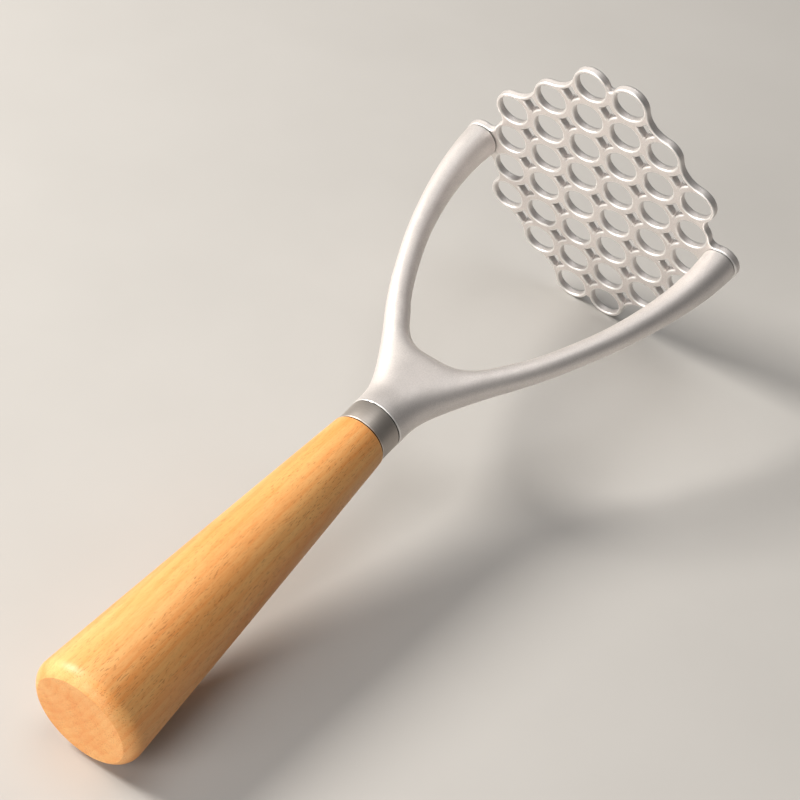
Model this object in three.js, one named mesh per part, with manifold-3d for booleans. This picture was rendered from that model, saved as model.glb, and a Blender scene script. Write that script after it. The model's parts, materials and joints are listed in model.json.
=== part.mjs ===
// Potato masher: a turned beech handle, a steel ferrule, a cast aluminium fork and a cast plate
// with a square grid of round holes and small four-pointed holes between them.
//
// Millimetres. The tool is built upright: Z runs up the axis of the handle from the middle of the
// plate's upper face, and X runs from one ear of the plate to the other. The last lines lay it down
// the way it rests on a table, on the rim of the handle's butt and on the plate's two lowest lobes,
// with the handle pointing to -X, and put the origin under the middle of its box.
import * as THREE from 'three';
import Module from 'manifold-3d';
import { mergeVertices } from 'three/addons/utils/BufferGeometryUtils.js';

// Driving dimensions
const gap = 0.3;                            // clearance between neighbouring pieces
const pitch = 13;                           // grid of the round holes
const holesPerColumn = [4, 6, 8, 8, 6, 4];  // columns of round holes, from one ear to the other
const holeRadius = 5.1;
const lobeRadius = 6.3;                     // metal round an outermost hole
const plateThickness = 2.6;
const plateLean = THREE.MathUtils.degToRad(7);  // the plate leans this much from square to the axis
const starSideRadius = 7.22;                // hollow sides of a star hole, about the round holes' centres
const starTipHalfWidth = 0.3;
const earCentre = 43.2;                     // from the axis to the middle of an ear
const earRadius = 5.9;
const filletInColumn = 3.6;                 // outline fillet between two lobes of one column
const filletOnStep = 8.8;                   // outline fillet between lobes of neighbouring columns
const filletAtTip = 0.9;                    // outline fillet between the two end lobes
const filletAtEar = 2.5;

const hubTop = 116.6;                       // where the fork meets the ferrule
const hubRadius = 8.3;
const ferruleLength = 7.3;
const ferruleWall = 1.3;
const shoulderChamfer = 0.6;                // chamfer of the wood above the ferrule
const buttEnd = 240.3;                      // far end of the handle
const neckRadius = 8.65;                    // wood just above the ferrule
const buttRadius = 16.6;                    // wood at the butt, before its edge is rounded
const handleSwell = 0.1;                    // how far the middle of the taper stands above a straight cone
const buttRounding = 5;
const buttTurn = THREE.MathUtils.degToRad(62);  // the rounding turns this far, then meets the flat end
const taperEnd = buttEnd - buttRounding * Math.sin(buttTurn);

const studRadius = 3;                       // M6 stud between fork and handle
const studInHub = 13;
const studInHandle = 17;
const insertRadius = 4.75;                  // threaded insert in the wood
const insertLength = 15;
const screwRadius = 2;                      // M4 countersunk screws through the ears
const screwLength = 14;
const screwHeadRadius = 3.6;
const screwHeadHeight = 1.8;
const socketRadius = 1.45;                  // hexagon socket in the screw's head
const socketDepth = 1.2;

const roundSteps = 32;                      // sides of the turned pieces
const holeSteps = 16;                       // sides of a round hole in the plate

const wasm = await Module();
wasm.setup();

// ---- materials ----------------------------------------------------------------------------------

const castAluminium = new THREE.MeshStandardMaterial({ color: 0xcfc9c3, roughness: 0.42, metalness: 1 });
const brushedSteel = new THREE.MeshStandardMaterial({ color: 0xa8a29c, roughness: 0.32, metalness: 1 });
const zincSteel = new THREE.MeshStandardMaterial({ color: 0x9a9a98, roughness: 0.4, metalness: 1 });
const brass = new THREE.MeshStandardMaterial({ color: 0xb9964f, roughness: 0.35, metalness: 1 });
const beech = new THREE.MeshStandardMaterial({ color: 0xe0a468, roughness: 0.5, metalness: 0 });

// ---- joining and cutting ------------------------------------------------------------------------

function toSolid(geometry) {
  const bare = geometry.index ? geometry.clone() : geometry;
  bare.deleteAttribute('normal');
  bare.deleteAttribute('uv');
  const merged = mergeVertices(bare, 1e-4);
  return new wasm.Manifold(new wasm.Mesh({
    numProp: 3,
    vertProperties: new Float32Array(merged.attributes.position.array),
    triVerts: new Uint32Array(merged.index.array),
  }));
}

function toMesh(name, solid, material) {
  const { vertProperties, triVerts } = solid.getMesh();
  const geometry = new THREE.BufferGeometry();
  geometry.setAttribute('position', new THREE.BufferAttribute(vertProperties, 3));
  geometry.setIndex(new THREE.BufferAttribute(triVerts, 1));
  geometry.computeVertexNormals();
  const mesh = new THREE.Mesh(geometry, material);
  mesh.name = name;
  return mesh;
}

// Turned solid about Z from [radius, height] pairs, bottom to top.
function turned(profile, steps = roundSteps) {
  const points = profile.map(([radius, height]) => new THREE.Vector2(radius, height));
  return toSolid(new THREE.LatheGeometry(points, steps).rotateX(Math.PI / 2));
}

// Points on an arc, both ends included.
function arc(x, y, radius, from, to, steps) {
  return Array.from({ length: steps + 1 }, (_, i) => {
    const angle = from + (to - from) * i / steps;
    return new THREE.Vector2(x + radius * Math.cos(angle), y + radius * Math.sin(angle));
  });
}

// ---- plate --------------------------------------------------------------------------------------

// Middle of the round hole in a given column and row, both counted from the centre in half pitches.
function roundHoleCentres() {
  return holesPerColumn.flatMap((count, column) =>
    Array.from({ length: count }, (_, row) => new THREE.Vector2(
      (column - (holesPerColumn.length - 1) / 2) * pitch,
      (row - (count - 1) / 2) * pitch)));
}

// A star hole lies at each grid corner that has round holes on at least three sides.
function starHoleCentres(holes) {
  const reach = pitch * Math.SQRT1_2 * 1.01;
  const corners = [];
  for (let column = -2; column <= 2; column += 1) {
    for (let row = -3; row <= 3; row += 1) {
      const corner = new THREE.Vector2(column * pitch, row * pitch);
      if (holes.filter((hole) => hole.distanceTo(corner) < reach).length >= 3) corners.push(corner);
    }
  }
  return corners;
}

// Four hollow sides, each an arc about a neighbouring round hole, with blunt tips on the axes.
function starHole(centre) {
  const half = pitch / 2;
  const tipAngle = Math.asin((half - starTipHalfWidth) / starSideRadius);
  return [0, 1, 2, 3].flatMap((side) => {
    const towards = Math.PI / 4 + side * Math.PI / 2;
    const x = centre.x + half * Math.SQRT2 * Math.cos(towards);
    const y = centre.y + half * Math.SQRT2 * Math.sin(towards);
    const spread = tipAngle - Math.PI / 4;
    return arc(x, y, starSideRadius, towards + Math.PI + spread, towards + Math.PI - spread, 2);
  });
}

// Outline of the plate: convex lobes, each pair of neighbours joined by a hollow fillet.
function plateOutline() {
  const half = (holesPerColumn.length - 1) / 2;
  const upper = [];
  for (let column = holesPerColumn.length - 1; column >= 0; column -= 1) {
    const x = (column - half) * pitch;
    const top = (holesPerColumn[column] - 1) / 2 * pitch;
    const lobe = { x, y: top, radius: lobeRadius };
    const below = { x, y: top - pitch, radius: lobeRadius };
    const outermost = column === 0 || column === holesPerColumn.length - 1;
    if (!outermost) upper.push(lobe);
    else upper.push(...(column === 0 ? [lobe, below] : [below, lobe]));
  }
  const lower = upper.map((lobe) => ({ ...lobe, x: -lobe.x, y: -lobe.y }));
  const ear = (x) => ({ x, y: 0, radius: earRadius });
  const lobes = [ear(earCentre), ...upper, ear(-earCentre), ...lower];

  const joins = lobes.map((lobe, i) => {
    const next = lobes[(i + 1) % lobes.length];
    const fillet = filletBetween(lobe, next);
    const reach = Math.hypot(next.x - lobe.x, next.y - lobe.y);
    const a = lobe.radius + fillet;
    const b = next.radius + fillet;
    const along = (reach * reach + a * a - b * b) / (2 * reach);
    const out = Math.sqrt(a * a - along * along);
    const [ux, uy] = [(next.x - lobe.x) / reach, (next.y - lobe.y) / reach];
    return { x: lobe.x + ux * along + uy * out, y: lobe.y + uy * along - ux * out, fillet };
  });

  return lobes.flatMap((lobe, i) => {
    const before = joins[(i + lobes.length - 1) % lobes.length];
    const after = joins[i];
    const next = lobes[(i + 1) % lobes.length];
    const start = Math.atan2(before.y - lobe.y, before.x - lobe.x);
    const end = start + turn(Math.atan2(after.y - lobe.y, after.x - lobe.x) - start);
    const into = Math.atan2(lobe.y - after.y, lobe.x - after.x);
    const outOf = into - turn(into - Math.atan2(next.y - after.y, next.x - after.x));
    const convex = arc(lobe.x, lobe.y, lobe.radius, start, end, 8);
    const hollow = arc(after.x, after.y, after.fillet, into, outOf, 4);
    return [...convex, ...hollow.slice(1, -1)];
  });
}

// An angle brought into one full turn counterclockwise.
function turn(angle) {
  return THREE.MathUtils.euclideanModulo(angle, 2 * Math.PI);
}

function filletBetween(lobe, next) {
  if (Math.abs(lobe.x) === earCentre || Math.abs(next.x) === earCentre) return filletAtEar;
  if (lobe.x === next.x) return filletInColumn;
  return lobe.y === next.y ? filletAtTip : filletOnStep;
}

// Room for a countersunk screw, pointing up from the plate's underside.
function screwShape(clearance, length) {
  const top = -plateThickness + length;
  const head = screwHeadRadius + clearance;
  const shank = screwRadius + clearance;
  const headTop = -plateThickness + screwHeadHeight + clearance;
  return { bottom: -plateThickness, head, shank, headTop, top };
}

function screwPocket() {
  const { bottom, head, shank, headTop, top } = screwShape(gap, screwLength + gap);
  return turned([[0, bottom - 1], [head, bottom - 1], [head, bottom], [shank, headTop], [shank, top],
    [0, top]], 20);
}

function screw() {
  const { bottom, head, shank, headTop, top } = screwShape(0, screwLength);
  const body = turned([[0, bottom + 0.1], [head, bottom + 0.1], [shank, headTop], [shank, top - 0.7],
    [shank - 0.7, top], [0, top]], 20);
  const socket = turned([[0, bottom - 1], [socketRadius, bottom - 1],
    [socketRadius, bottom + socketDepth], [0, bottom + socketDepth]], 6);
  return body.subtract(socket);
}

function mashingPlate() {
  const holes = roundHoleCentres();
  const shape = new THREE.Shape(plateOutline());
  for (const { x, y } of holes) {
    shape.holes.push(new THREE.Path(arc(x, y, holeRadius, 0, 2 * Math.PI, holeSteps).slice(0, -1)));
  }
  for (const centre of starHoleCentres(holes)) shape.holes.push(new THREE.Path(starHole(centre)));
  const blank = new THREE.ExtrudeGeometry(shape, { depth: plateThickness, bevelEnabled: false });
  const plate = toSolid(blank.translate(0, 0, -plateThickness));
  return plate.subtract(screwPocket().translate(earCentre, 0, 0))
    .subtract(screwPocket().translate(-earCentre, 0, 0));
}

// ---- fork ---------------------------------------------------------------------------------------

// Bar with an oval section along a route in the XZ plane. Each station is [x, z, half width in the
// plane of the fork, half depth across it]; the route and the section run smoothly through them.
function ovalBar(stations, steps, sides = 16) {
  const route = new THREE.CatmullRomCurve3(stations.map(([x, z]) => new THREE.Vector3(x, 0, z)));
  const section = new THREE.CatmullRomCurve3(stations.map(([, , width, depth]) =>
    new THREE.Vector3(width, depth, 0)));
  const positions = [];
  const index = [];
  for (let i = 0; i <= steps; i += 1) {
    const t = i / steps;
    const centre = route.getPoint(t);
    const along = route.getTangent(t);
    const { x: width, y: depth } = section.getPoint(t);
    for (let j = 0; j < sides; j += 1) {
      const angle = 2 * Math.PI * j / sides;
      const outwards = width * Math.cos(angle);
      positions.push(centre.x + along.z * outwards, depth * Math.sin(angle), centre.z - along.x * outwards);
    }
  }
  for (let i = 0; i < steps; i += 1) {
    for (let j = 0; j < sides; j += 1) {
      const a = i * sides + j;
      const b = i * sides + (j + 1) % sides;
      index.push(a, b, b + sides, a, b + sides, a + sides);
    }
  }
  const last = steps * sides;
  for (let j = 1; j < sides - 1; j += 1) {
    index.push(0, j + 1, j);
    index.push(last, last + j, last + j + 1);
  }
  const geometry = new THREE.BufferGeometry();
  geometry.setAttribute('position', new THREE.Float32BufferAttribute(positions, 3));
  geometry.setIndex(index);
  return toSolid(geometry);
}

// Tightest convex solid round ovals that lie square to Z, given like the stations of a bar.
function hullOfOvals(ovals, sides = 24) {
  return wasm.Manifold.hull(ovals.flatMap(([x, z, width, depth]) =>
    Array.from({ length: sides }, (_, i) => {
      const angle = 2 * Math.PI * i / sides;
      return [x + width * Math.cos(angle), depth * Math.sin(angle), z];
    })));
}

// One arm, from below the ear up into the hub, then mirrored. A bridge rounds the crotch between
// the arms, and a web fills the space from there to the hub.
function castFork() {
  const arm = [
    [43.3, -6, 5.8, 6.6], [42.8, 10, 4.95, 5.4], [40.4, 26, 4.2, 4.3], [35.2, 45, 3.6, 3.65],
    [27.9, 63, 3.45, 3.5], [20.7, 77, 3.65, 3.8], [12.8, 89.5, 4.25, 4.6], [4.9, 102, 5.9, 5.8],
    [0.5, 111, 8.2, 7.4],
  ];
  const bridge = [[21.4, 75, 3.4, 3.7], [14.5, 85.6, 3.9, 4.6], [7.2, 90.9, 4.2, 5], [0, 91.6, 4.4, 5.2]];
  const web = [[9, 90.6, 3.4, 5.2], [-9, 90.6, 3.4, 5.2], [0, 92.6, 3.8, 5.6], [0, 112.5, 7.4, 7.4]];
  const mirror = (stations) => stations.map(([x, z, width, depth]) => [-x, z, width, depth]);
  const crotch = [...bridge, ...mirror(bridge.slice(0, -1)).reverse()];
  const hub = turned([[0, 108], [7.3, 111], [hubRadius, 115], [hubRadius, hubTop - gap - 0.5],
    [hubRadius - 0.5, hubTop - gap], [0, hubTop - gap]]);
  const studHole = turned([[0, hubTop - studInHub - gap], [studRadius + gap, hubTop - studInHub - gap],
    [studRadius + gap, hubTop + 1], [0, hubTop + 1]], 20);
  const belowSeam = toSolid(new THREE.BoxGeometry(2 * earCentre + 40, 60, 30)
    .translate(0, 0, gap - 15)
    .rotateX(plateLean));
  const pocket = screwPocket().translate(earCentre, 0, 0)
    .add(screwPocket().translate(-earCentre, 0, 0))
    .rotate([THREE.MathUtils.radToDeg(plateLean), 0, 0]);
  return ovalBar(arm, 20)
    .add(ovalBar(mirror(arm), 20))
    .add(ovalBar(crotch, 16))
    .add(hullOfOvals(web))
    .add(hub)
    .subtract(studHole)
    .subtract(belowSeam)
    .subtract(pocket);
}

// ---- ferrule, handle and what holds them --------------------------------------------------------

function ferrule() {
  const inside = hubRadius - ferruleWall;
  const edge = 0.3;
  const top = hubTop + ferruleLength;
  return turned([[inside, hubTop], [hubRadius - edge, hubTop], [hubRadius, hubTop + edge],
    [hubRadius, top - edge], [hubRadius - edge, top], [inside, top], [inside, hubTop]]);
}

// Radius of the handle at a share of its length above the ferrule.
function handleRadius(share) {
  return neckRadius + (buttRadius - neckRadius) * share + 4 * handleSwell * share * (1 - share);
}

function beechHandle() {
  const shoulder = hubTop + ferruleLength + gap;
  const spigotRadius = hubRadius - ferruleWall - gap;
  const spigotEnd = hubTop + gap;
  const boreRadius = insertRadius + gap;
  const boreEnd = spigotEnd + studInHandle + 3;
  const taperStart = shoulder + shoulderChamfer;
  const taperSteps = 6;
  const taper = Array.from({ length: taperSteps + 1 }, (_, i) => {
    const share = i / taperSteps;
    return [handleRadius(share), taperStart + (taperEnd - taperStart) * share];
  });
  const butt = arc(buttRadius - buttRounding, taperEnd, buttRounding, 0, buttTurn, 6)
    .slice(1)
    .map(({ x, y }) => [x, y]);
  return turned([[0, boreEnd + 2.5], [boreRadius, boreEnd], [boreRadius, spigotEnd],
    [spigotRadius, spigotEnd], [spigotRadius, shoulder], [neckRadius - shoulderChamfer, shoulder],
    ...taper, ...butt, [0, buttEnd]]);
}

function tangStud() {
  const bottom = hubTop - studInHub;
  const top = hubTop + studInHandle;
  const chamfer = 0.8;
  return turned([[0, bottom], [studRadius - chamfer, bottom], [studRadius, bottom + chamfer],
    [studRadius, top - chamfer], [studRadius - chamfer, top], [0, top]], 20);
}

function threadedInsert() {
  const bottom = hubTop + 2 * gap + 1;
  const top = bottom + insertLength;
  const inside = studRadius + gap;
  return turned([[inside, bottom], [insertRadius, bottom], [insertRadius, top], [inside, top],
    [inside, bottom]], 24);
}

// ---- assembly -----------------------------------------------------------------------------------

const plateGroup = new THREE.Group();
plateGroup.rotation.x = plateLean;
plateGroup.add(toMesh('mashing_plate', mashingPlate(), castAluminium));
for (const [side, x] of [['left', -earCentre], ['right', earCentre]]) {
  const screwMesh = toMesh(`plate_screw_${side}`, screw(), zincSteel);
  screwMesh.position.x = x;
  plateGroup.add(screwMesh);
}

const masher = new THREE.Group();
masher.add(plateGroup);
masher.add(toMesh('cast_fork', castFork(), castAluminium));
masher.add(toMesh('ferrule', ferrule(), brushedSteel));
masher.add(toMesh('beech_handle', beechHandle(), beech));
masher.add(toMesh('tang_stud', tangStud(), zincSteel));
masher.add(toMesh('threaded_insert', threadedInsert(), brass));

// Lying down, the floor passes through the lowest lobes of the plate and touches the butt's rounding.
const lowestLobe = (Math.max(...holesPerColumn) - 1) / 2 * pitch + lobeRadius;
const toRounding = new THREE.Vector2(
  taperEnd + lowestLobe * Math.sin(plateLean),
  lowestLobe * Math.cos(plateLean) - (buttRadius - buttRounding));
const handleDip = Math.atan2(toRounding.y, toRounding.x) - Math.asin(buttRounding / toRounding.length());
masher.setRotationFromMatrix(new THREE.Matrix4().makeBasis(
  new THREE.Vector3(0, -1, 0),
  new THREE.Vector3(-Math.sin(handleDip), 0, Math.cos(handleDip)),
  new THREE.Vector3(-Math.cos(handleDip), 0, -Math.sin(handleDip))));

const box = new THREE.Box3().setFromObject(masher, true);
masher.position.set(-(box.min.x + box.max.x) / 2, 0, -box.min.z);

const potatoMasher = new THREE.Group();
potatoMasher.add(masher);

export default potatoMasher;
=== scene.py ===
"""Potato masher: beech handle, steel ferrule, cast aluminium fork and perforated plate.

The tool lies on a table, on the rim of its butt and on the plate's two lowest lobes.
Lengths are metres, written as millimetres times MM. Every piece is made upright in the tool's own
axes, with Z up the handle from the middle of the plate's upper face and X from ear to ear, and
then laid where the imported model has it.
"""
import json
import math

import bmesh
import bpy
from mathutils import Matrix, Vector


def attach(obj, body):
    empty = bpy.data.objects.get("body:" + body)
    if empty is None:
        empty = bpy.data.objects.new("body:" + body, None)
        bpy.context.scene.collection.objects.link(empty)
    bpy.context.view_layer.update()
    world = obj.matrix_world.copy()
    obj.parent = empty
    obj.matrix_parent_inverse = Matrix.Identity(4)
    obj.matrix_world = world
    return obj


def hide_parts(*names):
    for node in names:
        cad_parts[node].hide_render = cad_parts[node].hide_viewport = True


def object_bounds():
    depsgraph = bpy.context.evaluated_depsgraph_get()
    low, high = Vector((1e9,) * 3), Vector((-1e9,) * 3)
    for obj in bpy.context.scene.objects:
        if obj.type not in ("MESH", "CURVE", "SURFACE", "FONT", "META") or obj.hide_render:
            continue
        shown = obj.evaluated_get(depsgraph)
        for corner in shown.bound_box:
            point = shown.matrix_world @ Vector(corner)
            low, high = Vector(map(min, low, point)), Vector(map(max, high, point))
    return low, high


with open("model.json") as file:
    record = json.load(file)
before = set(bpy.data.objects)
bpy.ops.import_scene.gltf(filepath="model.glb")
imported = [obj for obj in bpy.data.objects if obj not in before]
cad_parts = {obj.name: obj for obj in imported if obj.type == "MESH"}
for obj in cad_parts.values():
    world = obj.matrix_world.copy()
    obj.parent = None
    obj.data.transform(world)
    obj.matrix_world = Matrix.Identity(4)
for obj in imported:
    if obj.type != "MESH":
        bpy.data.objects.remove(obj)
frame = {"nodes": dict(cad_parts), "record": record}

MM = 0.001
cad_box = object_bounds()
scene = bpy.context.scene

# ---- where the tool lies -------------------------------------------------------------------------
# The two flat faces that the record states fix the tool's axes: the end of the handle lies square
# on the handle's axis, and the plate's underside gives the plate's lean.
faces = {mount["name"]: mount for mount in frame["record"]["mounts"]}
butt_end = Vector(faces["butt_face"]["pos_m"])
up_handle = Vector(faces["butt_face"]["axis"]).normalized()
underside = Vector(faces["mashing_face"]["pos_m"])
out_of_plate = Vector(faces["mashing_face"]["axis"]).normalized()
PLATE_THICKNESS = 2.6 * MM

plate_top = underside - out_of_plate * PLATE_THICKNESS
handle_reach = (plate_top - butt_end).dot(out_of_plate) / up_handle.dot(out_of_plate)
plate_middle = butt_end + up_handle * handle_reach
TOOL_LENGTH = abs(handle_reach)


def axes_at(origin, along):
    """Matrix of axes at origin with Z along the given direction and X across the tool."""
    across = Vector((0, -1, 0))
    return Matrix.LocRotScale(origin, Matrix((across, along.cross(across), along)).transposed(), None)


tool_axes = axes_at(plate_middle, up_handle)
plate_axes = axes_at(plate_middle, -out_of_plate)

# ---- camera --------------------------------------------------------------------------------------
# A long lens from above the butt, on the tool's right, rolled a little. Its place is given in the
# tool's axes, in metres from the middle of the plate.
LENS = 101.7
camera_data = bpy.data.cameras.new("camera")
camera_data.lens = LENS
camera_data.clip_start = 0.01
camera = bpy.data.objects.new("camera", camera_data)
scene.collection.objects.link(camera)
scene.camera = camera
to_camera = Vector((0.21547, 0.47500, 0.46428))
looking = Vector((-0.3399, -0.7499, -0.5676)).normalized()
camera_up = Vector((-0.4764, 0.6576, -0.5836))
camera_right = looking.cross(camera_up).normalized()
camera_turn = Matrix((camera_right, camera_right.cross(looking), -looking)).transposed()
camera.matrix_world = tool_axes @ Matrix.LocRotScale(to_camera, camera_turn, None)

# ---- beech handle --------------------------------------------------------------------------------
# One piece of steamed beech, turned to an almost straight taper, sanded and oiled. Its lower end
# has a spigot that sits in the ferrule, and a bore for the threaded insert. The butt is end grain
# with a rounded rim.
NECK_RADIUS = 8.65 * MM
BUTT_RADIUS = 16.55 * MM
BUTT_ROUNDING = 5 * MM
BUTT_TURN = 62
TAPER_SWELL = 0.1 * MM
WOOD_START = 124.2 * MM
SHOULDER_ROUNDING = 0.7 * MM
SPIGOT_START = 116.9 * MM
SPIGOT_RADIUS = 6.7 * MM
BORE_RADIUS = 5.05 * MM
BORE_END = 136.9 * MM
TURNED_SIDES = 128


def arc(x, y, radius, start, end, steps):
    """Points on an arc, both ends included, angles in degrees."""
    angles = [math.radians(start + (end - start) * i / steps) for i in range(steps + 1)]
    return [(x + radius * math.cos(a), y + radius * math.sin(a)) for a in angles]


def turned_mesh(profile, sides=TURNED_SIDES):
    """Closed turned body about Z. The profile is (radius, height) points; radius 0 is on the axis."""
    work = bmesh.new()
    rings = []
    for radius, height in profile:
        if radius < 1e-9:
            rings.append([work.verts.new((0, 0, height))])
            continue
        turns = [2 * math.pi * i / sides for i in range(sides)]
        rings.append([work.verts.new((radius * math.cos(t), radius * math.sin(t), height)) for t in turns])
    closed = profile[0][0] > 1e-9
    for low, high in zip(rings, rings[1:] + (rings[:1] if closed else [])):
        for i in range(sides):
            j = (i + 1) % sides
            corners = [low[i % len(low)], low[j % len(low)], high[j % len(high)], high[i % len(high)]]
            work.faces.new(list(dict.fromkeys(corners)))
    bmesh.ops.recalc_face_normals(work, faces=work.faces)
    mesh = bpy.data.meshes.new("turned")
    work.to_mesh(mesh)
    work.free()
    return mesh


def place(name, mesh, axes, material, slot_name, *cad_nodes, sharp_above=38):
    """Makes a piece of a mesh, smooth but for its sharp corners, and lets it stand for CAD nodes."""
    mesh.transform(axes)
    mesh.shade_smooth()
    mesh.set_sharp_from_angle(angle=math.radians(sharp_above))
    mesh.materials.append(material)
    piece = bpy.data.objects.new(name, mesh)
    scene.collection.objects.link(piece)
    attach(piece, "root")
    if cad_nodes:
        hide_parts(*cad_nodes)
    return piece


def add(tree, kind, inputs=None, **settings):
    """Adds a node; an input is given a value, or linked if it is given a socket."""
    node = tree.nodes.new(kind)
    for name, value in settings.items():
        setattr(node, name, value)
    for name, value in (inputs or {}).items():
        if isinstance(value, bpy.types.NodeSocket):
            tree.links.new(value, node.inputs[name])
        else:
            node.inputs[name].default_value = value
    return node


def math_node(tree, operation, *values):
    return add(tree, "ShaderNodeMath", dict(enumerate(values)), operation=operation).outputs[0]


def between(tree, value, low, high, to_low=0.0, to_high=1.0):
    """Spreads the stretch low..high of a value over to_low..to_high, and holds it there outside."""
    inputs = {"Value": value, "From Min": low, "From Max": high, "To Min": to_low, "To Max": to_high}
    return add(tree, "ShaderNodeMapRange", inputs, interpolation_type="SMOOTHSTEP").outputs[0]


def blend_colour(tree, share, first, second):
    """Mixes two colours, each a socket or three numbers: first at share 0, second at share 1."""
    node = add(tree, "ShaderNodeMix", {0: share}, data_type="RGBA")
    for socket, value in ((node.inputs[6], first), (node.inputs[7], second)):
        if isinstance(value, bpy.types.NodeSocket):
            tree.links.new(value, socket)
        else:
            socket.default_value = (*value, 1)
    return node.outputs[2]


def new_material(name):
    """An empty node material and its Principled shader."""
    material = bpy.data.materials.new(name)
    material.use_nodes = True
    tree = material.node_tree
    tree.nodes.clear()
    shader = tree.nodes.new("ShaderNodeBsdfPrincipled")
    output = tree.nodes.new("ShaderNodeOutputMaterial")
    tree.links.new(shader.outputs[0], output.inputs[0])
    return material, tree, shader


def new_group(name, inputs, outputs):
    """A shader node group with float inputs {name: default}, and its input and output nodes."""
    group = bpy.data.node_groups.new(name, "ShaderNodeTree")
    for label, value in inputs.items():
        socket = group.interface.new_socket(label, in_out="INPUT", socket_type="NodeSocketFloat")
        socket.default_value = value
    for label in outputs:
        group.interface.new_socket(label, in_out="OUTPUT", socket_type="NodeSocketFloat")
    return group, group.nodes.new("NodeGroupInput"), group.nodes.new("NodeGroupOutput")


def use_group(tree, group, **inputs):
    """Adds a node that uses a group; an input's label is given with _ for its spaces."""
    node = tree.nodes.new("ShaderNodeGroup")
    node.node_tree = group
    for label, value in inputs.items():
        node.inputs[label.replace("_", " ")].default_value = value
    return node


def in_millimetres(tree, stretch=(1, 1, 1)):
    """Millimetres in the tool's own axes, each axis divided by how far the pattern runs along it."""
    inputs = {"Vector": add(tree, "ShaderNodeTexCoord").outputs["Object"], "Location": plate_middle,
              "Rotation": tool_axes.to_euler(), "Scale": tuple(MM * run for run in stretch)}
    return add(tree, "ShaderNodeMapping", inputs, vector_type="TEXTURE").outputs[0]


def noise(tree, where, scale, detail=2.0, roughness=0.5):
    inputs = {"Vector": where, "Scale": scale, "Detail": detail, "Roughness": roughness}
    return add(tree, "ShaderNodeTexNoise", inputs).outputs["Fac"]


# Hands leave a faint uneven haze on wood and metal alike: patches a few millimetres across.
handling_haze, haze_in, haze_out = new_group("handling_haze", {"Patch mm": 9.0, "Strength": 1.0}, ["Haze"])
haze_scale = math_node(handling_haze, "DIVIDE", 1.0, haze_in.outputs["Patch mm"])
haze_noise = add(handling_haze, "ShaderNodeTexNoise", {
    "Vector": in_millimetres(handling_haze), "Scale": haze_scale, "Detail": 4.0, "Roughness": 0.6})
haze = between(handling_haze, haze_noise.outputs["Fac"], 0.3, 0.7)
haze = math_node(handling_haze, "MULTIPLY", haze, haze_in.outputs["Strength"])
handling_haze.links.new(haze, haze_out.inputs["Haze"])


def beech_material():
    """Yellow wood: faint growth rings, soft streaks and short dark flecks that crowd in places.

    Pattern sizes are millimetres across and along the grain.
    """
    material, tree, shader = new_material("oiled_beech")
    pith = (-46.0, 31.0, 0.0)
    ring_width = 2.6
    ring_wander = 7.0
    wander_size = (14, 14, 90)
    streak_size = (0.5, 0.5, 9)
    broad_size = (6, 6, 70)
    fleck_size = (0.21, 0.21, 1.9)
    crowd_size = (5, 5, 22)
    pore_size = (0.13, 0.13, 2.0)
    position = in_millimetres(tree)
    wander = noise(tree, in_millimetres(tree, wander_size), 1.0)
    from_pith = add(tree, "ShaderNodeVectorMath", {0: position, 1: pith}, operation="SUBTRACT").outputs[0]
    flat = add(tree, "ShaderNodeVectorMath", {0: from_pith, 1: (1, 1, 0)}, operation="MULTIPLY").outputs[0]
    reach = add(tree, "ShaderNodeVectorMath", {0: flat}, operation="LENGTH").outputs["Value"]
    reach = math_node(tree, "MULTIPLY_ADD", wander, ring_wander, reach)
    ring = math_node(tree, "FRACT", math_node(tree, "DIVIDE", reach, ring_width))
    late_wood = between(tree, ring, 0.35, 1.0)

    streaks = noise(tree, in_millimetres(tree, streak_size), 1.0, 3.0, 0.7)
    broad = noise(tree, in_millimetres(tree, broad_size), 1.0, 2.0)
    fleck_field = noise(tree, in_millimetres(tree, fleck_size), 1.0, 1.0)
    flecks = between(tree, fleck_field, 0.58, 0.69)
    crowd_field = noise(tree, in_millimetres(tree, crowd_size), 1.0)
    crowding = between(tree, crowd_field, 0.35, 0.65, 0.2, 0.55)
    pores = noise(tree, in_millimetres(tree, pore_size), 1.0, 1.0)

    pale = (0.84, 0.48, 0.175)
    warm = (0.76, 0.27, 0.060)
    fleck_brown = (0.32, 0.095, 0.022)
    share = math_node(tree, "MULTIPLY_ADD", late_wood, 0.08, 0.08)
    share = math_node(tree, "MULTIPLY_ADD", streaks, 0.34, share)
    share = math_node(tree, "MULTIPLY_ADD", broad, 0.55, share)
    share = between(tree, share, 0.25, 0.85)
    colour = blend_colour(tree, share, pale, warm)
    fleck_share = math_node(tree, "MULTIPLY", flecks, crowding)
    colour = blend_colour(tree, fleck_share, colour, fleck_brown)
    tree.links.new(colour, shader.inputs["Base Color"])

    haze = use_group(tree, handling_haze, Patch_mm=12.0).outputs["Haze"]
    roughness = math_node(tree, "MULTIPLY_ADD", haze, 0.10, 0.40)
    roughness = math_node(tree, "MULTIPLY_ADD", flecks, 0.12, roughness)
    tree.links.new(roughness, shader.inputs["Roughness"])
    height = math_node(tree, "MULTIPLY_ADD", flecks, -0.8, pores)
    height = math_node(tree, "MULTIPLY_ADD", streaks, 0.6, height)
    bump = add(tree, "ShaderNodeBump", {"Height": height, "Strength": 0.35, "Distance": 0.06 * MM})
    tree.links.new(bump.outputs[0], shader.inputs["Normal"])
    shader.inputs["IOR"].default_value = 1.48
    return material


def taper(share):
    """Radius of the wood at a share of the way from its shoulder to its butt."""
    return NECK_RADIUS + (BUTT_RADIUS - NECK_RADIUS) * share + 4 * TAPER_SWELL * share * (1 - share)


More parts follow.
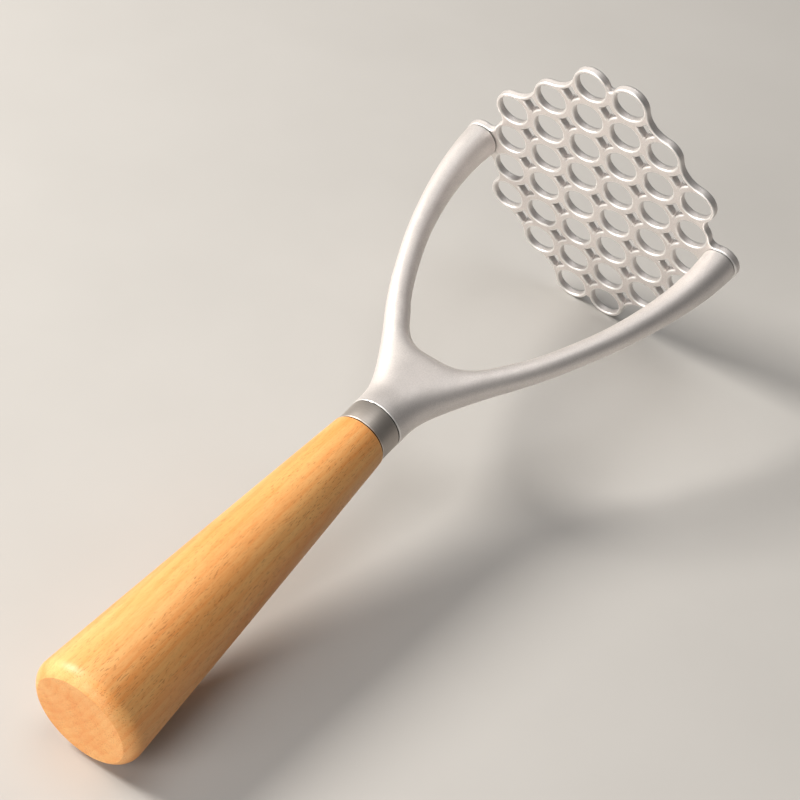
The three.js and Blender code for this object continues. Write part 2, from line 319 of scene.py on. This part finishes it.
taper_start = WOOD_START + SHOULDER_ROUNDING
taper_end = TOOL_LENGTH - BUTT_ROUNDING * math.sin(math.radians(BUTT_TURN))
taper_points = [(taper(i / 48), taper_start + (taper_end - taper_start) * i / 48) for i in range(49)]
handle_profile = [
    (0, BORE_END + 2.5 * MM), (BORE_RADIUS, BORE_END), (BORE_RADIUS, SPIGOT_START),
    (SPIGOT_RADIUS, SPIGOT_START), (SPIGOT_RADIUS, WOOD_START),
    *arc(NECK_RADIUS - SHOULDER_ROUNDING, taper_start, SHOULDER_ROUNDING, -90, 0, 5)[:-1],
    *taper_points,
    *arc(BUTT_RADIUS - BUTT_ROUNDING, taper_end, BUTT_ROUNDING, 0, BUTT_TURN, 14)[1:],
    ((BUTT_RADIUS - BUTT_ROUNDING) / 2, TOOL_LENGTH), (0, TOOL_LENGTH),
]
place("handle", turned_mesh(handle_profile), tool_axes, beech_material(), "beech", "beech_handle",
      sharp_above=24)

# ---- ferrule -------------------------------------------------------------------------------------
# A short ring cut from stainless tube and brushed round, with its two rims just broken. It hides
# the joint between the wood's spigot and the fork's hub.
HUB_TOP = 116.6 * MM
HUB_RADIUS = 8.3 * MM
FERRULE_LENGTH = 7.3 * MM
FERRULE_WALL = 1.3 * MM
FERRULE_ROUNDING = 0.25 * MM

# Edges that stand out are rubbed smoother and painted brighter, in uneven stretches: partly rubbed
# wear, partly a painted highlight. The edge is a value that each mesh carries, from 0 on its faces
# to 1 on its rims.
rubbed_and_highlighted_edges, brightening_in, brightening_out = new_group("rubbed_and_highlighted_edges", {"Breakup mm": 4.0}, ["Rub"])
brightening_scale = math_node(rubbed_and_highlighted_edges, "DIVIDE", 1.0, brightening_in.outputs["Breakup mm"])
brightening_noise = add(rubbed_and_highlighted_edges, "ShaderNodeTexNoise", {
    "Vector": in_millimetres(rubbed_and_highlighted_edges), "Scale": brightening_scale, "Detail": 3.0})
rim = add(rubbed_and_highlighted_edges, "ShaderNodeAttribute", attribute_name="rim").outputs["Fac"]
patchy = between(rubbed_and_highlighted_edges, brightening_noise.outputs["Fac"], 0.25, 0.6, 0.45, 1.0)
rubbed_and_highlighted_edges.links.new(math_node(rubbed_and_highlighted_edges, "MULTIPLY", rim, patchy), brightening_out.inputs["Rub"])

# The fine texture of a metal: how far it runs along X, Y and Z says whether it is blasted or brushed.
fine_grain, grain_in, grain_out = new_group(
    "fine_grain", {f"Run {axis} mm": 0.2 for axis in "XYZ"}, ["Grain"])
grain_run = add(fine_grain, "ShaderNodeCombineXYZ", {
    axis: grain_in.outputs[f"Run {axis} mm"] for axis in "XYZ"}).outputs[0]
grain_inputs = {0: in_millimetres(fine_grain), 1: grain_run}
grain_where = add(fine_grain, "ShaderNodeVectorMath", grain_inputs, operation="DIVIDE").outputs[0]
fine_grain.links.new(noise(fine_grain, grain_where, 1.0, 3.0, 0.65), grain_out.inputs["Grain"])

# Painted shade darkens the joints between pieces. The joint is a value that each mesh carries.
painted_seam_shade, seam_shade_in, seam_shade_out = new_group("painted_seam_shade", {"Strength": 1.0}, ["Dirt"])
joint = add(painted_seam_shade, "ShaderNodeAttribute", attribute_name="joint").outputs["Fac"]
joint_shade = math_node(painted_seam_shade, "MULTIPLY", joint, seam_shade_in.outputs["Strength"])
painted_seam_shade.links.new(joint_shade, seam_shade_out.inputs["Dirt"])
JOINT_SHADE_COLOUR = (0.035, 0.028, 0.022)
RIM_POLISH = 0.16


def metal_material(name, face, edge, roughness, grain, grain_depth, haze_patch):
    """A bare metal with a face colour and a brighter edge colour: rubbed wear and a painted highlight.

    grain is how far its fine texture runs along X, Y and Z, and grain_depth how deep it is;
    haze_patch is the width of the patches of haze. All three are in millimetres.
    """
    material, tree, shader = new_material(name)
    rub_and_highlight = use_group(tree, rubbed_and_highlighted_edges).outputs["Rub"]
    haze = use_group(tree, handling_haze, Patch_mm=haze_patch).outputs["Haze"]
    runs = {f"Run_{axis}_mm": run for axis, run in zip("XYZ", grain)}
    texture = use_group(tree, fine_grain, **runs).outputs["Grain"]
    dull = tuple(c * 0.84 for c in face)
    speckle = between(tree, texture, 0.36, 0.64, 0.0, 0.55)
    colour = blend_colour(tree, math_node(tree, "MULTIPLY_ADD", haze, 0.3, speckle), face, dull)
    # Rims painted brighter: rubbed wear and a painted highlight.
    colour = blend_colour(tree, rub_and_highlight, colour, edge)
    # Painted shade: the joints are darkened towards a near-black colour.
    joint_shade = use_group(tree, painted_seam_shade, Strength=0.9).outputs["Dirt"]
    colour = blend_colour(tree, joint_shade, colour, JOINT_SHADE_COLOUR)
    tree.links.new(colour, shader.inputs["Base Color"])
    rough = math_node(tree, "MULTIPLY_ADD", haze, 0.06, roughness)
    rough = math_node(tree, "MULTIPLY_ADD", texture, 0.08, rough)
    rough = math_node(tree, "MULTIPLY_ADD", rub_and_highlight, -RIM_POLISH, rough)
    tree.links.new(rough, shader.inputs["Roughness"])
    bump = add(tree, "ShaderNodeBump", {"Height": texture, "Strength": 0.5, "Distance": grain_depth * MM})
    tree.links.new(bump.outputs[0], shader.inputs["Normal"])
    shader.inputs["Metallic"].default_value = 1.0
    return material


def mark(mesh, **tests):
    """Stores values on a mesh's points: each name is 1 where its test of the position holds."""
    for name, test in tests.items():
        values = mesh.attributes.new(name, "FLOAT", "POINT")
        values.data.foreach_set("value", [float(test(v.co)) for v in mesh.vertices])


ferrule_inside = HUB_RADIUS - FERRULE_WALL
ferrule_top = HUB_TOP + FERRULE_LENGTH
ferrule_profile = [
    (ferrule_inside, HUB_TOP),
    *arc(HUB_RADIUS - FERRULE_ROUNDING, HUB_TOP + FERRULE_ROUNDING, FERRULE_ROUNDING, -90, 0, 4),
    *arc(HUB_RADIUS - FERRULE_ROUNDING, ferrule_top - FERRULE_ROUNDING, FERRULE_ROUNDING, 0, 90, 4),
    (ferrule_inside, ferrule_top),
]
ferrule_mesh = turned_mesh(ferrule_profile)
# rim: where the ring is painted brighter, as rubbed wear and painted highlight; joint: where painted shade
# darkens it.
mark(ferrule_mesh,
     rim=lambda co: not HUB_TOP + FERRULE_ROUNDING < co.z < ferrule_top - FERRULE_ROUNDING,
     joint=lambda co: co.xy.length < HUB_RADIUS - 0.8 * FERRULE_ROUNDING)
brushed_ring = metal_material("brushed_ring", (0.58, 0.53, 0.485), (0.76, 0.73, 0.70), 0.42,
                              (3.0, 3.0, 0.09), 0.012, 7.0)
place("ferrule_ring", ferrule_mesh, tool_axes, brushed_ring, "ferrule_steel", "ferrule")

# ---- cast fork -----------------------------------------------------------------------------------
# One die casting in aluminium, bead blasted to an even satin. The hub flares into two oval arms
# that swell again towards the ears, with a wide smooth crotch between them. The hub is bored for
# the stud, and each arm's end for a screw.
GAP = 0.3 * MM
EAR_CENTRE = 43.2 * MM
STUD_BORE = 3.3 * MM
STUD_IN_HUB = 13.3 * MM
RIM_ROUNDING = 0.45 * MM
CASTING_VOXEL = 0.42 * MM
SMOOTHING_ROUNDS = 26
NECK_FROM = 72 * MM
NECK_TO = 114 * MM
NECK_FADE = 12 * MM
NECK_ROUNDS = 80
TRIM_REACH = 14 * MM
# Each station is x, z, half width in the fork's plane and half depth across it, in millimetres.
ARM = [(43.3, -6, 5.8, 6.6), (42.8, 10, 4.95, 5.4), (40.4, 26, 4.2, 4.3), (35.2, 45, 3.6, 3.65),
       (27.9, 63, 3.45, 3.5), (20.7, 77, 3.65, 3.8), (12.8, 89.5, 4.25, 4.6), (4.9, 102, 5.9, 5.8),
       (0.5, 111, 8.3, 7.4), (0, 118, 8.3, 8.3)]
BRIDGE = [(21.4, 75, 3.4, 3.7), (14.5, 85.6, 3.9, 4.6), (7.2, 90.9, 4.2, 5.0), (0, 91.6, 4.4, 5.2)]
WEB = [(9.0, 90.6, 3.4, 5.2), (0, 92.6, 3.8, 5.6), (0, 112.5, 7.4, 7.4)]
# Smoothing draws the bars in by about this much, so they start that much thicker.
SMOOTHING_LOSS = 0.13


def smooth_route(stations, steps):
    """Catmull-Rom points through stations of any number of values, steps to each stretch."""
    ends = [[2 * a - b for a, b in zip(stations[0], stations[1])],
            [2 * a - b for a, b in zip(stations[-1], stations[-2])]]
    run = [ends[0], *stations, ends[1]]
    points = []
    for before, start, end, after in zip(run, run[1:], run[2:], run[3:]):
        for i in range(steps):
            t = i / steps
            points.append([0.5 * (2 * p1 + (p2 - p0) * t + (2 * p0 - 5 * p1 + 4 * p2 - p3) * t * t
                                  + (3 * p1 - p0 - 3 * p2 + p3) * t ** 3)
                           for p0, p1, p2, p3 in zip(before, start, end, after)])
    return [*points, list(stations[-1])]


def oval_bar(work, stations, steps=8, sides=40):
    """Adds a closed bar of oval section to a bmesh, along stations in the XZ plane."""
    route = smooth_route(stations, steps)
    rings = []
    for i, (x, z, width, depth) in enumerate(route):
        behind, ahead = route[max(i - 1, 0)], route[min(i + 1, len(route) - 1)]
        along = Vector((ahead[0] - behind[0], ahead[1] - behind[1])).normalized()
        ring = []
        for j in range(sides):
            turn = 2 * math.pi * j / sides
            out = (width + SMOOTHING_LOSS) * math.cos(turn)
            deep = (depth + SMOOTHING_LOSS) * math.sin(turn)
            ring.append(work.verts.new(Vector((x + along.y * out, deep, z - along.x * out)) * MM))
        rings.append(ring)
    for low, high in zip(rings, rings[1:]):
        for j in range(sides):
            k = (j + 1) % sides
            work.faces.new((low[j], low[k], high[k], high[j]))
    work.faces.new(reversed(rings[0]))
    work.faces.new(rings[-1])


def mirrored(stations):
    return [(-x, *rest) for x, *rest in stations]


def web_between(work, stations, sides=40):
    """Adds the hull of flat-lying ovals to a bmesh: the solid neck between the two arms."""
    corners = []
    for x, z, width, depth in stations:
        for j in range(sides):
            turn = 2 * math.pi * j / sides
            corner = Vector((x + width * math.cos(turn), depth * math.sin(turn), z))
            corners.append(work.verts.new(corner * MM))
    hull = bmesh.ops.convex_hull(work, input=corners)
    inside = {v for v in hull["geom_interior"] if isinstance(v, bmesh.types.BMVert)}
    bmesh.ops.delete(work, geom=list(inside), context="VERTS")


def with_modifiers(mesh, *modifiers):
    """A new mesh: the given one after the modifiers, each a type and its settings."""
    carrier = bpy.data.objects.new("carrier", mesh)
    scene.collection.objects.link(carrier)
    for kind, settings in modifiers:
        modifier = carrier.modifiers.new(kind.lower(), kind)
        for name, value in settings.items():
            setattr(modifier, name, value)
    ready = carrier.evaluated_get(bpy.context.evaluated_depsgraph_get())
    made = bpy.data.meshes.new_from_object(ready)
    bpy.data.objects.remove(carrier)
    return made


def carve(mesh, cutter):
    """The mesh less a cutter mesh."""
    tool = bpy.data.objects.new("cutter", cutter)
    scene.collection.objects.link(tool)
    carved = with_modifiers(mesh, ("BOOLEAN", {"operation": "DIFFERENCE", "object": tool, "solver": "EXACT"}))
    bpy.data.objects.remove(tool)
    return carved


def trim_with_rounded_rim(work, origin, outward, rounding, reach):
    """Cuts a bmesh off beyond the plane at origin, closes the cut and rounds its rim.

    Only what lies within reach of origin is touched.
    """
    heights = [rounding * (1 - math.cos(math.radians(a))) for a in (0, 20, 40, 60, 75, 90)]
    for height in heights[::-1]:
        near = [v for v in work.verts if (v.co - origin).length < reach]
        links = {e for v in near for e in v.link_edges}
        parts = [*near, *links, *{f for v in near for f in v.link_faces}]
        cut = bmesh.ops.bisect_plane(
            work, geom=list(dict.fromkeys(parts)), plane_co=origin - outward * height,
            plane_no=outward, clear_outer=height == 0, dist=1e-7)
    loop = [e for e in cut["geom_cut"] if isinstance(e, bmesh.types.BMEdge)]
    filled = bmesh.ops.contextual_create(work, geom=loop)["faces"]
    for v in {v for v in work.verts if (v.co - origin).length < reach}:
        depth = (origin - v.co).dot(outward)
        if -1e-7 < depth < rounding:
            inset = rounding - math.sqrt(max(rounding ** 2 - (rounding - depth) ** 2, 0))
            from_axis = v.co - origin + outward * depth
            v.co -= from_axis.normalized() * inset
    bmesh.ops.triangulate(work, faces=filled)


bars = bmesh.new()
for stations in (ARM, mirrored(ARM), BRIDGE, mirrored(BRIDGE)):
    oval_bar(bars, stations)
web_between(bars, [*WEB, *mirrored(WEB[:1])])
bars_mesh = bpy.data.meshes.new("fork")
bars.to_mesh(bars_mesh)
bars.free()
casting = with_modifiers(
    bars_mesh,
    ("REMESH", {"mode": "VOXEL", "voxel_size": CASTING_VOXEL}),
    ("SMOOTH", {"factor": 0.5, "iterations": SMOOTHING_ROUNDS}),
)
work = bmesh.new()
work.from_mesh(casting)
for i in range(NECK_ROUNDS):
    fade = NECK_FADE * i / NECK_ROUNDS
    neck = [v for v in work.verts if NECK_FROM + fade < v.co.z < NECK_TO - fade / 2]
    bmesh.ops.smooth_vert(work, verts=neck, factor=0.5, use_axis_x=True, use_axis_y=True, use_axis_z=True)
lean = plate_axes.to_3x3().inverted() @ tool_axes.to_3x3()
plate_up = tool_axes.to_3x3().inverted() @ -out_of_plate
seams = [Vector((side * EAR_CENTRE, 0, 0)) + plate_up * GAP for side in (-1, 1)]
for seam in seams:
    trim_with_rounded_rim(work, seam, -plate_up, RIM_ROUNDING, TRIM_REACH)
trim_with_rounded_rim(work, Vector((0, 0, HUB_TOP - GAP)), Vector((0, 0, 1)), RIM_ROUNDING, TRIM_REACH)
work.to_mesh(casting)
work.free()

SCREW_RADIUS = 2.0 * MM
SCREW_LENGTH = 14 * MM
SCREW_HEAD_RADIUS = 3.6 * MM
SCREW_HEAD_HEIGHT = 1.8 * MM


def screw_pocket(side):
    """Room for a countersunk screw at one ear, in the plate's axes."""
    head = SCREW_HEAD_RADIUS + GAP
    shank = SCREW_RADIUS + GAP
    under = -PLATE_THICKNESS
    top = under + SCREW_LENGTH + GAP
    profile = [(0, under - 1 * MM), (head, under - 1 * MM), (head, under),
               (shank, under + SCREW_HEAD_HEIGHT + GAP), (shank, top), (0, top)]
    pocket = turned_mesh(profile, 48)
    pocket.transform(Matrix.Translation((side * EAR_CENTRE, 0, 0)))
    return pocket


stud_room = turned_mesh([(0, HUB_TOP - STUD_IN_HUB), (STUD_BORE, HUB_TOP - STUD_IN_HUB),
                         (STUD_BORE, HUB_TOP + 1 * MM), (0, HUB_TOP + 1 * MM)], 48)
casting = carve(casting, stud_room)
for side in (-1, 1):
    pocket = screw_pocket(side)
    pocket.transform(lean.inverted().to_4x4())
    casting = carve(casting, pocket)


def from_cut_end(co):
    """How far a point of the fork lies from the nearer of its cut ends, at the ears and the hub."""
    return min(*(abs((co - seam).dot(plate_up)) for seam in seams), HUB_TOP - GAP - co.z)


# rim: where the cut ends are painted brighter, as rubbed wear and painted highlight; joint: where painted
# shade darkens them.
mark(casting,
     rim=lambda co: from_cut_end(co) < RIM_ROUNDING,
     joint=lambda co: from_cut_end(co) < 0.05 * MM)
satin_casting = metal_material("satin_casting", (0.90, 0.855, 0.83), (0.95, 0.93, 0.915), 0.52,
                               (0.35, 0.35, 0.35), 0.035, 8.0)
place("fork", casting, tool_axes, satin_casting, "cast_aluminium", "cast_fork")

# ---- mashing plate -------------------------------------------------------------------------------
# A second casting in the same alloy and finish. Round holes stand on a square grid in six columns,
# with a four-pointed hole wherever three or four of them meet. Every rim is rounded. An ear on
# each side takes a countersunk screw from below.
PITCH = 13 * MM
HOLES_PER_COLUMN = (4, 6, 8, 8, 6, 4)
HOLE_RADIUS = 5.1 * MM
LOBE_RADIUS = 6.25 * MM
EAR_RADIUS = 5.9 * MM
STAR_SIDE_RADIUS = 7.22 * MM
STAR_TIP_RADIUS = 0.35 * MM
FILLET_IN_COLUMN = 3.6 * MM
FILLET_ON_STEP = 8.8 * MM
FILLET_AT_TIP = 0.9 * MM
FILLET_AT_EAR = 2.5 * MM
PLATE_ROUNDING = 0.52 * MM


def full_turn(degrees):
    """An angle brought into one full turn counterclockwise."""
    return degrees % 360


def direction(start, end):
    """Angle in degrees of the way from one point to another."""
    return math.degrees(math.atan2(end[1] - start[1], end[0] - start[0]))


def round_holes():
    """Centres of the round holes."""
    half = (len(HOLES_PER_COLUMN) - 1) / 2
    return [((column - half) * PITCH, (row - (count - 1) / 2) * PITCH)
            for column, count in enumerate(HOLES_PER_COLUMN) for row in range(count)]


def star_holes(rounds):
    """Grid corners with a round hole on at least three sides."""
    corners = [(column * PITCH, row * PITCH) for column in range(-2, 3) for row in range(-3, 4)]
    reach = PITCH * 0.72
    return [c for c in corners if sum(math.dist(c, hole) < reach for hole in rounds) >= 3]


def star_outline(centre):
    """Four hollow sides about the neighbouring holes' centres, with the tips rounded."""
    half = PITCH / 2
    side = STAR_SIDE_RADIUS
    tip = STAR_TIP_RADIUS
    tip_reach = half - math.sqrt((side + tip) ** 2 - half ** 2)
    points = []
    for quarter in range(4):
        turn = 90 * quarter
        corner = math.radians(turn + 45)
        hole = (centre[0] + half * math.sqrt(2) * math.cos(corner),
                centre[1] + half * math.sqrt(2) * math.sin(corner))
        first_tip = (centre[0] + tip_reach * math.cos(math.radians(turn)),
                     centre[1] + tip_reach * math.sin(math.radians(turn)))
        swing = direction(first_tip, hole) - turn
        points += arc(*first_tip, tip, turn - swing, turn + swing, 4)
        start = direction(hole, first_tip)
        spread = full_turn(start - (turn + 225) + 180) - 180
        points += arc(*hole, side, turn + 225 + spread, turn + 225 - spread, 8)[1:-1]
    return points


def lobe_ring():
    """Lobes round the plate, counterclockwise from the right ear: x, y and radius."""
    half = (len(HOLES_PER_COLUMN) - 1) / 2
    upper = []
    for column in reversed(range(len(HOLES_PER_COLUMN))):
        x = (column - half) * PITCH
        top = (HOLES_PER_COLUMN[column] - 1) / 2 * PITCH
        stack = [(x, top, LOBE_RADIUS)]
        if column == len(HOLES_PER_COLUMN) - 1:
            stack.insert(0, (x, top - PITCH, LOBE_RADIUS))
        if column == 0:
            stack.append((x, top - PITCH, LOBE_RADIUS))
        upper += stack
    lower = [(-x, -y, radius) for x, y, radius in upper]
    return [(EAR_CENTRE, 0, EAR_RADIUS), *upper, (-EAR_CENTRE, 0, EAR_RADIUS), *lower]


def fillet_for(lobe, following):
    if EAR_CENTRE in (abs(lobe[0]), abs(following[0])):
        return FILLET_AT_EAR
    if lobe[0] == following[0]:
        return FILLET_IN_COLUMN
    return FILLET_AT_TIP if lobe[1] == following[1] else FILLET_ON_STEP


def plate_outline():
    """The scalloped outline: convex lobes joined by hollow fillets."""
    lobes = lobe_ring()
    pairs = list(zip(lobes, lobes[1:] + lobes[:1]))
    fillets = []
    for lobe, following in pairs:
        radius = fillet_for(lobe, following)
        reach = math.dist(lobe[:2], following[:2])
        a, b = lobe[2] + radius, following[2] + radius
        along = (reach ** 2 + a ** 2 - b ** 2) / (2 * reach)
        out = math.sqrt(a ** 2 - along ** 2)
        ux, uy = (following[0] - lobe[0]) / reach, (following[1] - lobe[1]) / reach
        fillets.append((lobe[0] + ux * along + uy * out, lobe[1] + uy * along - ux * out, radius))
    points = []
    for (lobe, following), before, after in zip(pairs, fillets[-1:] + fillets[:-1], fillets):
        start = direction(lobe, before)
        end = start + full_turn(direction(lobe, after) - start)
        points += arc(*lobe, start, end, max(4, round((end - start) / 7)))
        into = direction(after, lobe)
        swing = full_turn(into - direction(after, following))
        points += arc(*after, into, into - swing, max(4, round(swing / 7)))[1:-1]
    return points


def outward_normals(loop, hole):
    """Unit normals that point out of the metal, at the points of a counterclockwise loop."""
    sign = -1 if hole else 1
    normals = []
    for i, point in enumerate(loop):
        before, after = Vector(loop[i - 1]), Vector(loop[(i + 1) % len(loop)])
        first = (Vector(point) - before).normalized()
        second = (after - Vector(point)).normalized()
        along = first + second
        stretch = 1 / max(0.5, along.length / 2)
        normals.append(Vector((along.y, -along.x)).normalized() * sign * stretch)
    return normals


def rounded_slab(outline, holes, top, bottom, rounding):
    """A flat slab with through holes, all rims rounded, and a rim value on the roundings."""
    flat_lead = 0.03 * MM
    angles = [math.radians(a) for a in (90, 72, 54, 36, 18, 0)]
    upper = [(rounding * (1 - math.cos(a)), top - rounding * (1 - math.sin(a)), 1.0) for a in angles]
    upper = [(rounding + flat_lead, top, 0.0), *upper, (0, top - rounding - flat_lead, 0.0)]
    lower = [(inset, top + bottom - z, rim_value) for inset, z, rim_value in reversed(upper)]
    work = bmesh.new()
    # The rim value sets where the rims are painted brighter: rubbed wear and a painted highlight.
    rim_layer = work.verts.layers.float.new("rim")
    for is_hole, loop in [(False, outline), *((True, hole) for hole in holes)]:
        normals = outward_normals(loop, is_hole)
        rings = []
        for inset, z, rim_value in [*upper, *lower]:
            ring = []
            for point, normal in zip(loop, normals):
                vert = work.verts.new((*(Vector(point) - normal * inset), z))
                vert[rim_layer] = rim_value
                ring.append(vert)
            rings.append(ring)
        for high, low in zip(rings, rings[1:]):
            for i in range(len(loop)):
                j = (i + 1) % len(loop)
                work.faces.new((high[j], high[i], low[i], low[j]))
    for face_z in (top, bottom):
        borders = [e for e in work.edges if e.is_boundary and abs(e.verts[0].co.z - face_z) < 1e-7]
        bmesh.ops.triangle_fill(work, edges=borders, use_beauty=True, normal=(0, 0, 1))
    bmesh.ops.recalc_face_normals(work, faces=work.faces)
    mesh = bpy.data.meshes.new("slab")
    work.to_mesh(mesh)
    work.free()
    return mesh


rounds = round_holes()
hole_loops = [arc(*centre, HOLE_RADIUS, 0, 360, 56)[:-1] for centre in rounds]
hole_loops += [star_outline(centre) for centre in star_holes(rounds)]
plate_mesh = rounded_slab(plate_outline(), hole_loops, 0, -PLATE_THICKNESS, PLATE_ROUNDING)
for side in (-1, 1):
    plate_mesh = carve(plate_mesh, screw_pocket(side))


def under_an_arm(co):
    return co.z > -GAP and abs(abs(co.x) - EAR_CENTRE) < 3 * MM and abs(co.y) < 3 * MM


# joint: where painted shade darkens the plate under the ends of the arms.
mark(plate_mesh, joint=under_an_arm)
place("plate", plate_mesh, plate_axes, satin_casting, "cast_aluminium", "mashing_plate")

# ---- screws, stud and insert ---------------------------------------------------------------------
# Two countersunk socket screws hold the plate to the arms from below. A stud in the hub screws into
# a brass insert in the wood, and pulls handle, ferrule and fork together.
SOCKET_RADIUS = 1.45 * MM
SOCKET_DEPTH = 1.2 * MM
plain_screw = metal_material("stainless_screw", (0.55, 0.55, 0.55), (0.75, 0.75, 0.75), 0.28,
                             (0.9, 0.9, 0.06), 0.01, 3.0)
turned_brass = metal_material("turned_brass", (0.78, 0.57, 0.25), (0.88, 0.70, 0.38), 0.3,
                              (1.5, 1.5, 0.08), 0.01, 5.0)


def screw_mesh():
    """A countersunk screw with a hexagon socket, head down, in the plate's axes."""
    under = -PLATE_THICKNESS + 0.1 * MM
    head_top = -PLATE_THICKNESS + SCREW_HEAD_HEIGHT
    top = -PLATE_THICKNESS + SCREW_LENGTH
    edge = 0.15 * MM
    profile = [(0, under), *arc(SCREW_HEAD_RADIUS - edge, under + edge, edge, -90, 0, 4),
               (SCREW_RADIUS, head_top), (SCREW_RADIUS, top - 0.7 * MM),
               (SCREW_RADIUS - 0.7 * MM, top), (0, top)]
    socket = turned_mesh([(0, under - 1 * MM), (SOCKET_RADIUS, under - 1 * MM),
                          (SOCKET_RADIUS, under + SOCKET_DEPTH),
                          (0, under + SOCKET_DEPTH + 0.5 * MM)], 6)
    mesh = carve(turned_mesh(profile, 64), socket)
    # rim: the head's edge, painted brighter as rubbed wear and painted highlight; joint: the shank, darkened
    # with painted shade.
    mark(mesh, rim=lambda co: co.z < under + edge and co.xy.length > SCREW_HEAD_RADIUS - 2 * edge,
         joint=lambda co: co.z > under + edge)
    return mesh


for label, side in (("left", -1), ("right", 1)):
    spot = plate_axes @ Matrix.Translation((side * EAR_CENTRE, 0, 0))
    place(f"screw_{label}", screw_mesh(), spot, plain_screw, "fastener_steel", f"plate_screw_{label}",
          sharp_above=30)
for node, material in (("tang_stud", plain_screw), ("threaded_insert", turned_brass)):
    cad_mesh = frame["nodes"][node].data
    cad_mesh.materials.clear()
    cad_mesh.materials.append(material)

# ---- floor and light -----------------------------------------------------------------------------
# A plain pale table top in a soft studio: a large key from the tool's left, a wide overhead panel
# and a low fill from beyond the butt.
floor_mesh = bpy.data.meshes.new("floor")
FLOOR_REACH = 3.0
floor_corners = [(x * FLOOR_REACH, y * FLOOR_REACH, 0) for x, y in ((-1, -1), (1, -1), (1, 1), (-1, 1))]
floor_mesh.from_pydata(floor_corners, [], [(0, 1, 2, 3)])
floor_material, floor_tree, floor_shader = new_material("table_top")
floor_noise = noise(floor_tree, in_millimetres(floor_tree, (40, 40, 40)), 1.0, 3.0)
floor_colour = blend_colour(floor_tree, floor_noise, (0.50, 0.485, 0.465), (0.54, 0.525, 0.505))
floor_tree.links.new(floor_colour, floor_shader.inputs["Base Color"])
floor_shader.inputs["Roughness"].default_value = 0.65
floor_mesh.materials.append(floor_material)
floor = bpy.data.objects.new("floor", floor_mesh)
scene.collection.objects.link(floor)
middle = (cad_box[0] + cad_box[1]) / 2


def soft_light(name, place_at, size, watts, colour):
    """A round panel that faces the middle of the tool."""
    data = bpy.data.lights.new(name, "AREA")
    data.shape = "DISK"
    data.size = size
    data.energy = watts
    data.color = colour
    light = bpy.data.objects.new(name, data)
    scene.collection.objects.link(light)
    aim = (middle - Vector(place_at)).to_track_quat("-Z", "Y")
    light.matrix_world = Matrix.LocRotScale(Vector(place_at), aim, None)


soft_light("key", (-0.35, 1.05, 0.85), size=0.5, watts=25.5, colour=(1.0, 0.955, 0.89))
soft_light("overhead", (0.1, 0.15, 1.4), size=0.9, watts=5, colour=(1.0, 0.985, 0.97))
soft_light("low_fill", (-1.1, 0.1, 0.45), size=0.9, watts=9, colour=(1.0, 0.96, 0.92))
world = bpy.data.worlds.new("studio")
world.use_nodes = True
background = world.node_tree.nodes["Background"]
background.inputs["Color"].default_value = (0.80, 0.79, 0.78, 1)
background.inputs["Strength"].default_value = 0.13
scene.world = world
scene.view_settings.view_transform = "Standard"
